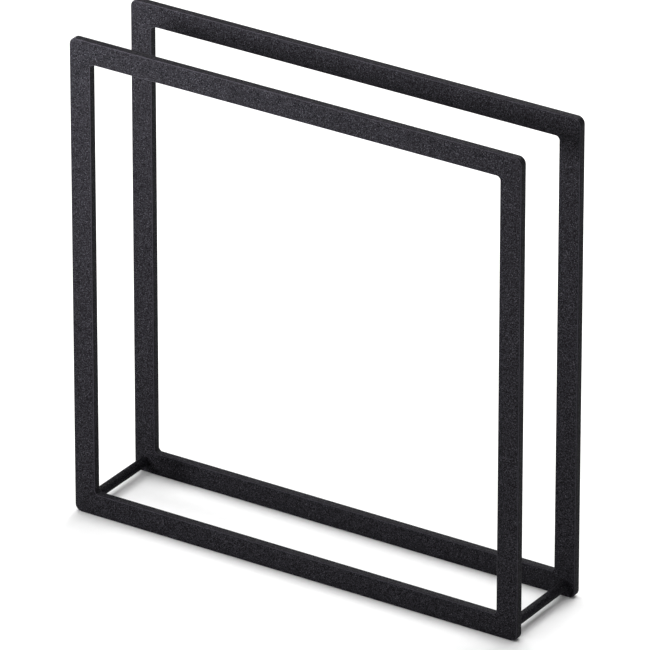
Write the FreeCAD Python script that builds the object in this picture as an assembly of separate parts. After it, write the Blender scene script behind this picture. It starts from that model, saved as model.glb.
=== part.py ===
import FreeCAD, Part
import os

# Napkin holder. Two upright square ring frames, each cut from one flat steel plate, stand
# parallel to each other. Two round cross rods join them at the bottom corners: each rod end
# butts against the inner face of a frame and is held there by a small ring of weld.
#
# Millimetres. X runs along the width, Y along the depth (the front frame is at -Y), Z up.
# The origin lies on the table, under the middle of the holder.

# Frames
FRAME_SIDE = 150.0  # width and height of the square outline
BAR_WIDTH = 7.0  # width of the flat bar that is left around the window
PLATE_THICKNESS = 2.5
OUTER_CORNER_RADIUS = 2.2
WINDOW_CORNER_RADIUS = 1.2
EDGE_ROUNDING = 0.35  # softened rim of the cut plate, on both faces

# Space for the napkins, between the two frames
GAP = 28.5

# Cross rods, on the centre line of the bars
ROD_DIAMETER = 3.0
ROD_INSET = BAR_WIDTH / 2  # rod axis from the side edge, and from the bottom edge

# Weld rings
WELD_LEG = 0.5  # how far the weld reaches along the rod, and out over the plate
WELD_RIM = 0.06  # blunt edge where the weld runs out

HALF_GAP = GAP / 2
ROD_X = FRAME_SIDE / 2 - ROD_INSET
ROD_RADIUS = ROD_DIAMETER / 2

LEFT = -1
RIGHT = 1
FRONT = -1
REAR = 1


def rounded_slab(side, corner_radius, thickness):
    """A square slab in the XZ plane, from y = 0 to the thickness, centred on the Y axis."""
    corner = FreeCAD.Vector(-side / 2, 0, -side / 2)
    slab = Part.makeBox(side, thickness, side, corner)
    corner_edges = [edge for edge in slab.Edges if edge.BoundBox.YLength > thickness / 2]
    return slab.makeFillet(corner_radius, corner_edges)


def ring_frame(facing):
    """One frame: a rounded slab with a square window, its rims softened on both faces."""
    window_side = FRAME_SIDE - 2 * BAR_WIDTH
    outline = rounded_slab(FRAME_SIDE, OUTER_CORNER_RADIUS, PLATE_THICKNESS)
    window = rounded_slab(window_side, WINDOW_CORNER_RADIUS, PLATE_THICKNESS)
    ring = outline.cut(window)
    rims = [edge for edge in ring.Edges if edge.BoundBox.YLength < EDGE_ROUNDING]
    ring = ring.makeFillet(EDGE_ROUNDING, rims)
    near_face = HALF_GAP if facing == REAR else -HALF_GAP - PLATE_THICKNESS
    ring.translate(FreeCAD.Vector(0, near_face, FRAME_SIDE / 2))
    return ring


def cross_rod(side):
    """A round rod along Y that fills the gap between the inner faces of the frames."""
    start = FreeCAD.Vector(side * ROD_X, -HALF_GAP, ROD_INSET)
    return Part.makeCylinder(ROD_RADIUS, GAP, start, FreeCAD.Vector(0, 1, 0))


def weld_profile():
    """Half section of a concave weld: X is the distance from the rod axis, Y along the rod."""
    reach = ROD_RADIUS + WELD_LEG
    hollow_radius = WELD_LEG - WELD_RIM
    hollow_depth = hollow_radius * 0.5 ** 0.5
    root = FreeCAD.Vector(ROD_RADIUS, 0, 0)
    plate_toe = FreeCAD.Vector(reach, 0, 0)
    plate_lip = FreeCAD.Vector(reach, WELD_RIM, 0)
    hollow = FreeCAD.Vector(reach - hollow_depth, WELD_LEG - hollow_depth, 0)
    rod_lip = FreeCAD.Vector(ROD_RADIUS + WELD_RIM, WELD_LEG, 0)
    rod_toe = FreeCAD.Vector(ROD_RADIUS, WELD_LEG, 0)
    sides = [
        Part.makeLine(root, plate_toe),
        Part.makeLine(plate_toe, plate_lip),
        Part.Arc(plate_lip, hollow, rod_lip).toShape(),
        Part.makeLine(rod_lip, rod_toe),
        Part.makeLine(rod_toe, root),
    ]
    return Part.Face(Part.Wire(sides))


def weld_ring(side, facing):
    """The weld around one rod end, turned so that its flat side lies on the frame."""
    ring = weld_profile().revolve(FreeCAD.Vector(0, 0, 0), FreeCAD.Vector(0, 1, 0), 360)
    if facing == REAR:
        ring.rotate(FreeCAD.Vector(0, 0, 0), FreeCAD.Vector(0, 0, 1), 180)
    ring.translate(FreeCAD.Vector(side * ROD_X, facing * HALF_GAP, ROD_INSET))
    return ring


def save(node, shape):
    """Check that the piece is one sound solid and write it as its own node."""
    solids = shape.Solids
    if len(solids) != 1 or not solids[0].isValid():
        raise ValueError(node + " is not one valid solid")
    solids[0].exportStep("parts/" + node + ".step")


os.makedirs("parts", exist_ok=True)

save("front_frame", ring_frame(FRONT))
save("rear_frame", ring_frame(REAR))

save("left_cross_rod", cross_rod(LEFT))
save("right_cross_rod", cross_rod(RIGHT))

save("front_left_weld", weld_ring(LEFT, FRONT))
save("front_right_weld", weld_ring(RIGHT, FRONT))
save("rear_left_weld", weld_ring(LEFT, REAR))
save("rear_right_weld", weld_ring(RIGHT, REAR))
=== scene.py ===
import math

import bpy
from mathutils import Matrix, Vector


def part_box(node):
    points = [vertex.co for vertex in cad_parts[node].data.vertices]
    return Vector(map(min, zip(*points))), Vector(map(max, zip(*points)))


# Upright napkin holder: two square ring frames of flat steel plate and two round cross rods,
# all under one coat of fine sand-textured black powder. Metres, in the frame of the CAD model.

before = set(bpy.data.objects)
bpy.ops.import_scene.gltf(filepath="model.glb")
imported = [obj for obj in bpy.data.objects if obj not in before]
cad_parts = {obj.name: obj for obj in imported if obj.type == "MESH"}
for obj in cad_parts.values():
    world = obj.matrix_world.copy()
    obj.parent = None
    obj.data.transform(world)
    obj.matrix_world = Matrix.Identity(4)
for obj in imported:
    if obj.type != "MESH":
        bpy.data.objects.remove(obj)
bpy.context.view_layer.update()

MM = 0.001

# ---------------------------------------------------------------- sizes read from the frame

front_low, front_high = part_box("front_frame")
SIDE = front_high.x - front_low.x
MIDDLE = Vector((0.0, front_low.y, SIDE / 2))
TOP_LEFT = Vector((front_low.x, front_low.y, SIDE))

# ---------------------------------------------------------------- settings of the coat

GRAIN_SIZE = 0.2 * MM
LUMP_SIZE = GRAIN_SIZE * 3.2  # soft lumps under the grains
MOTTLE_SIZE = 9 * MM  # slow drift of shade and gloss
RELIEF = 0.04 * MM

# Linear colours of the grains: the darkest, the lightest, and a painted glint, a much lighter colour on a
# few grains that stands in for the light they catch
DARK_GRAIN = (0.0021, 0.0020, 0.0026)
LIGHT_GRAIN = (0.0216, 0.0208, 0.0254)
PAINTED_GLINT_COLOUR = (0.100, 0.096, 0.113)
ROD_PAINTED_SHADE = 0.65  # painted shade: the rods and welds are drawn darker than the frames

# Each grain draws random numbers from 0 to 1, and these spans of them set its shade
SHADE_SPAN = (0.16, 0.84)
GLINT_SPAN = (0.88, 1.0)
PAINTED_GLINT_STRENGTH = 0.62
MOTTLE_STRENGTH = 0.09
NOISE_SPAN = (0.35, 0.65)  # where most values of a noise lie

LUMP_SHARE_OF_GLOSS = 0.6
MOTTLE_SHARE_OF_GLOSS = 0.4
DULL_ROUGHNESS = 0.62
GLOSSY_ROUGHNESS = 0.48
REFRACTIVE_INDEX = 1.5
SPECULAR_LEVEL = 0.03

CROWN_SPREAD = 0.7  # distance from a grain's middle to its foot, in grains
CROWN_HEIGHT = 0.8
LUMP_HEIGHT = 0.25

# On the plate: the softened rims, with a painted highlight, and the narrow cut edges, with painted shade
RIM_SPAN = (0.02, 0.14)
PAINTED_RIM_HIGHLIGHT = (0.056, 0.053, 0.064)
RIM_HIGHLIGHT_STRENGTH = 0.55
RIM_ROUGHNESS_CHANGE = -0.12
RIM_SMOOTHING = 0.6
CUT_EDGE_SPAN = (0.1, 0.55)
CUT_EDGE_PAINTED_SHADE = 0.25


# ---------------------------------------------------------------- node helpers

# The Mix node's colour sockets go by number, because its other sockets have the same names.
MIX_COLOUR_A = 6
MIX_COLOUR_B = 7
MIX_COLOUR_RESULT = 2


def new_material(name):
    """An empty node material and its tree."""
    material = bpy.data.materials.new(name)
    material.use_nodes = True
    material.node_tree.nodes.clear()
    return material, material.node_tree


def add_node(tree, kind, **settings):
    """A shader node; settings name its properties, or its inputs where it has no such property."""
    node = tree.nodes.new(kind)
    for name, value in settings.items():
        if hasattr(node, name):
            setattr(node, name, value)
        else:
            node.inputs[name.replace("_", " ").title()].default_value = value
    return node


def noise(tree, coordinates, size, detail):
    """Noise whose lumps are about that size, in metres."""
    node = add_node(tree, "ShaderNodeTexNoise", scale=1.0 / size, detail=detail)
    tree.links.new(coordinates, node.inputs["Vector"])
    return node.outputs["Fac"]


def remap(tree, value, span, start=0.0, end=1.0):
    """Goes smoothly from start to end as the value crosses the span, and stays level beyond it."""
    node = add_node(tree, "ShaderNodeMapRange", interpolation_type="SMOOTHSTEP")
    limits = {"From Min": span[0], "From Max": span[1], "To Min": start, "To Max": end}
    for socket, number in limits.items():
        node.inputs[socket].default_value = number
    tree.links.new(value, node.inputs["Value"])
    return node.outputs["Result"]


def blend_colours(tree, factor, first, second):
    """A mix of two colours; each is a constant or the output of another node."""
    node = add_node(tree, "ShaderNodeMix", data_type="RGBA")
    tree.links.new(factor, node.inputs["Factor"])
    for socket, colour in ((node.inputs[MIX_COLOUR_A], first), (node.inputs[MIX_COLOUR_B], second)):
        if isinstance(colour, tuple):
            socket.default_value = (*colour, 1.0)
        else:
            tree.links.new(colour, socket)
    return node.outputs[MIX_COLOUR_RESULT]


def arithmetic(tree, operation, first, second):
    """A sum, difference or product; each term is a number or the output of another node."""
    node = add_node(tree, "ShaderNodeMath", operation=operation)
    for socket, term in ((node.inputs[0], first), (node.inputs[1], second)):
        if isinstance(term, float):
            socket.default_value = term
        else:
            tree.links.new(term, socket)
    return node.outputs[0]


def multiply(tree, first, second):
    return arithmetic(tree, "MULTIPLY", first, second)


def add(tree, first, second):
    return arithmetic(tree, "ADD", first, second)


def one_minus(tree, value):
    return arithmetic(tree, "SUBTRACT", 1.0, value)


def paint(piece, material):
    """Gives the whole piece one material."""
    piece.data.materials.clear()
    piece.data.materials.append(material)


# ---------------------------------------------------------------- powder coat


def plate_zones(tree):
    """Two masks from the way a frame's surface faces: its softened rims and its narrow cut edges.

    Both are 0 on the flat faces. The rim mask is 1 where the rounding has turned by about 35
    degrees, and the cut edge mask takes over from there and is 1 on the cut edges."""
    normal = add_node(tree, "ShaderNodeSeparateXYZ")
    tree.links.new(add_node(tree, "ShaderNodeNewGeometry").outputs["Normal"], normal.inputs["Vector"])
    flatness = multiply(tree, normal.outputs["Y"], normal.outputs["Y"])
    slant = multiply(tree, multiply(tree, flatness, flatness), one_minus(tree, flatness))
    rim = remap(tree, slant, RIM_SPAN)
    cut_edge = remap(tree, flatness, CUT_EDGE_SPAN, 1.0, 0.0)
    return rim, cut_edge


def coat_colour(tree, grain_numbers, mottling, painted_shade_scale):
    """Each grain's own shade, with painted glints on a few grains, under the slow mottling."""
    # Painted shade: every colour of the coat is scaled by the shade scale, 1 on the frames and less on the
    # rods.
    dark, light, painted_glint = (
        tuple(part * painted_shade_scale for part in colour) for colour in (DARK_GRAIN, LIGHT_GRAIN, PAINTED_GLINT_COLOUR)
    )
    draws = add_node(tree, "ShaderNodeSeparateColor")
    tree.links.new(grain_numbers, draws.inputs["Color"])
    body = blend_colours(tree, remap(tree, draws.outputs["Red"], SHADE_SPAN), dark, light)
    # Painted glints: a few grains are lightened towards the glint colour, standing in for light caught on
    # their crowns.
    painted_glint_mask = remap(tree, draws.outputs["Green"], GLINT_SPAN, 0.0, PAINTED_GLINT_STRENGTH)
    speckled = blend_colours(tree, painted_glint_mask, body, painted_glint)
    return blend_colours(tree, remap(tree, mottling, NOISE_SPAN, 0.0, MOTTLE_STRENGTH), speckled, dark)


def coat_roughness(tree, lumps, mottling):
    """Gloss that drifts with the lumps and the mottling."""
    from_lumps = multiply(tree, lumps, LUMP_SHARE_OF_GLOSS)
    from_mottling = multiply(tree, mottling, MOTTLE_SHARE_OF_GLOSS)
    gloss = add(tree, from_lumps, from_mottling)
    return remap(tree, gloss, NOISE_SPAN, DULL_ROUGHNESS, GLOSSY_ROUGHNESS)


def coat_height(tree, distance_in_grain, lumps):
    """A low crown on each grain, over the soft lumps."""
    crown = remap(tree, distance_in_grain, (0.0, CROWN_SPREAD), 1.0, 0.0)
    return add(tree, multiply(tree, crown, CROWN_HEIGHT), multiply(tree, lumps, LUMP_HEIGHT))


def powder_coat(name, painted_shade_scale=1.0, plate=False):
    """Black powder coat with a fine sand texture: packed grains of uneven shade, each a low bump.

    On the plate, the coat lies smooth and a little glossier over the softened rims, where a painted
    highlight also makes it a little lighter, and painted shade makes the narrow cut edges a little darker."""
    material, tree = new_material(name)
    coordinates = add_node(tree, "ShaderNodeTexCoord").outputs["Object"]
    grains = add_node(tree, "ShaderNodeTexVoronoi", scale=1.0 / GRAIN_SIZE, randomness=1.0)
    tree.links.new(coordinates, grains.inputs["Vector"])
    lumps = noise(tree, coordinates, LUMP_SIZE, detail=1.0)
    mottling = noise(tree, coordinates, MOTTLE_SIZE, detail=2.0)

    colour = coat_colour(tree, grains.outputs["Color"], mottling, painted_shade_scale)
    roughness = coat_roughness(tree, lumps, mottling)
    height = coat_height(tree, grains.outputs["Distance"], lumps)
    if plate:
        rim, cut_edge = plate_zones(tree)
        # Painted shade: the narrow cut edges are darkened towards the darkest grain colour.
        colour = blend_colours(tree, multiply(tree, cut_edge, CUT_EDGE_PAINTED_SHADE), colour, DARK_GRAIN)
        # Painted highlight: the rims are lightened towards the rim colour; their lower roughness and
        # flatter bump below are the coat's own.
        colour = blend_colours(tree, multiply(tree, rim, RIM_HIGHLIGHT_STRENGTH), colour, PAINTED_RIM_HIGHLIGHT)
        roughness = add(tree, roughness, multiply(tree, rim, RIM_ROUGHNESS_CHANGE))
        height = multiply(tree, height, one_minus(tree, multiply(tree, rim, RIM_SMOOTHING)))

    surface = add_node(tree, "ShaderNodeBsdfPrincipled")
    surface.inputs["IOR"].default_value = REFRACTIVE_INDEX
    surface.inputs["Specular IOR Level"].default_value = SPECULAR_LEVEL
    tree.links.new(colour, surface.inputs["Base Color"])
    tree.links.new(roughness, surface.inputs["Roughness"])

    bump = add_node(tree, "ShaderNodeBump", strength=1.0, distance=RELIEF)
    tree.links.new(height, bump.inputs["Height"])
    tree.links.new(bump.outputs["Normal"], surface.inputs["Normal"])

    output = add_node(tree, "ShaderNodeOutputMaterial")
    tree.links.new(surface.outputs["BSDF"], output.inputs["Surface"])
    return material


frame_coat = powder_coat("sand_black_on_plate", plate=True)
# The rods and welds get the same coat with painted shade, its colours scaled darker.
rod_coat = powder_coat("sand_black_on_rod", painted_shade_scale=ROD_PAINTED_SHADE)
for name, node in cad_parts.items():
    paint(node, frame_coat if name.endswith("frame") else rod_coat)


# ---------------------------------------------------------------- floor

FLOOR_SIZE = 30.0
FIBRE_SIZE = 3 * MM
PAPER_DARK = (0.86, 0.86, 0.86)
PAPER_LIGHT = (0.9, 0.9, 0.9)


def pale_paper():
    """Matt white paper with a barely visible grain."""
    material, tree = new_material("pale_paper")
    coordinates = add_node(tree, "ShaderNodeTexCoord").outputs["Object"]
    fibres = noise(tree, coordinates, FIBRE_SIZE, detail=3.0)
    surface = add_node(tree, "ShaderNodeBsdfDiffuse")
    colour = blend_colours(tree, fibres, PAPER_DARK, PAPER_LIGHT)
    tree.links.new(colour, surface.inputs["Color"])
    output = add_node(tree, "ShaderNodeOutputMaterial")
    tree.links.new(surface.outputs["BSDF"], output.inputs["Surface"])
    return material


bpy.ops.mesh.primitive_plane_add(size=FLOOR_SIZE, location=(0, 0, 0))
floor = bpy.context.object
floor.name = "floor"
paint(floor, pale_paper())


# ---------------------------------------------------------------- light

# The key light and the front fill stand on one line out from the top left corner of the front
# frame. The line is low, so that the front frame shades the lower half of the rear top bar.
FRONT_LINE = Vector((-0.38, -1.0, 0.13))

# The key points past that corner, up and to the left, so that only the soft edge of its beam
# reaches the holder and the light falls off to the lower right.
KEY_STANDOFF = 0.5
KEY_MISS = Vector((-0.05, 0.0, 0.105))
KEY_SIZE = 0.165
KEY_WATTS = 1.12
KEY_SPREAD = 55.0

# The front fill stands farther off and lights the whole front almost evenly.
FILL_STANDOFF = 1.3
FILL_SIZE = 0.42
FILL_WATTS = 6.4

# The back fill lights the rear faces, and a little of the top and left edges.
BACK_PLACE = Vector((-0.3, 1.4, 0.5))
BACK_SIZE = 0.5
BACK_WATTS = 12.0

# The overhead light is wide, so that the floor stays white well behind the holder.
OVERHEAD_PLACE = Vector((-0.8, 1.3, 4.8))
OVERHEAD_AIM = Vector((-0.08, -0.08, 0.0))
OVERHEAD_SIZE = 5.2
OVERHEAD_WATTS = 367.0

FULL_SPREAD = 180.0
WHITE = (1.0, 1.0, 1.0, 1.0)
WORLD_STRENGTH = 0.2


def softbox(name, place, aim, size, watts, spread=FULL_SPREAD):
    """A square area light that stands at a place and faces its aim."""
    data = bpy.data.lights.new(name, "AREA")
    data.shape = "SQUARE"
    data.size = size
    data.energy = watts
    data.spread = math.radians(spread)
    lamp = bpy.data.objects.new(name, data)
    bpy.context.scene.collection.objects.link(lamp)
    lamp.location = place
    lamp.rotation_mode = "QUATERNION"
    lamp.rotation_quaternion = (aim - place).to_track_quat("-Z", "Y")


key_place = TOP_LEFT + KEY_STANDOFF * FRONT_LINE
fill_place = TOP_LEFT + FILL_STANDOFF * FRONT_LINE
softbox("key_light", key_place, TOP_LEFT + KEY_MISS, KEY_SIZE, KEY_WATTS, spread=KEY_SPREAD)
softbox("front_fill", fill_place, MIDDLE, FILL_SIZE, FILL_WATTS)
softbox("back_fill", BACK_PLACE, MIDDLE, BACK_SIZE, BACK_WATTS)
softbox("overhead_light", OVERHEAD_PLACE, OVERHEAD_AIM, OVERHEAD_SIZE, OVERHEAD_WATTS)

world = bpy.data.worlds.new("studio")
world.use_nodes = True
background = world.node_tree.nodes["Background"]
background.inputs["Color"].default_value = WHITE
background.inputs["Strength"].default_value = WORLD_STRENGTH
bpy.context.scene.world = world
bpy.context.scene.view_settings.view_transform = "Standard"


# ---------------------------------------------------------------- camera

CAMERA_AZIMUTH = 32.83
CAMERA_ELEVATION = 26.24
CAMERA_DISTANCE = 18.0 * SIDE
CAMERA_SIDESTEP = 0.0606 * SIDE
CAMERA_RISE = 0.027 * SIDE
LENS_MM = 531.5
SENSOR_MM = 36.0
NEAREST_SEEN = 0.05
FARTHEST_SEEN = 50.0


def make_camera():
    """A long lens, level from side to side, aimed a little right of and above the front frame's middle."""
    azimuth = math.radians(CAMERA_AZIMUTH)
    elevation = math.radians(CAMERA_ELEVATION)
    back = Vector((
        math.sin(azimuth) * math.cos(elevation),
        -math.cos(azimuth) * math.cos(elevation),
        math.sin(elevation),
    ))
    right = Vector((math.cos(azimuth), math.sin(azimuth), 0.0))
    up = back.cross(right)
    place = MIDDLE + back * CAMERA_DISTANCE + right * CAMERA_SIDESTEP + up * CAMERA_RISE
    turn = Matrix((right, up, back)).transposed()

    data = bpy.data.cameras.new("camera")
    data.lens = LENS_MM
    data.sensor_width = SENSOR_MM
    data.clip_start = NEAREST_SEEN
    data.clip_end = FARTHEST_SEEN
    camera = bpy.data.objects.new("camera", data)
    bpy.context.scene.collection.objects.link(camera)
    camera.matrix_world = Matrix.Translation(place) @ turn.to_4x4()
    bpy.context.scene.camera = camera


make_camera()
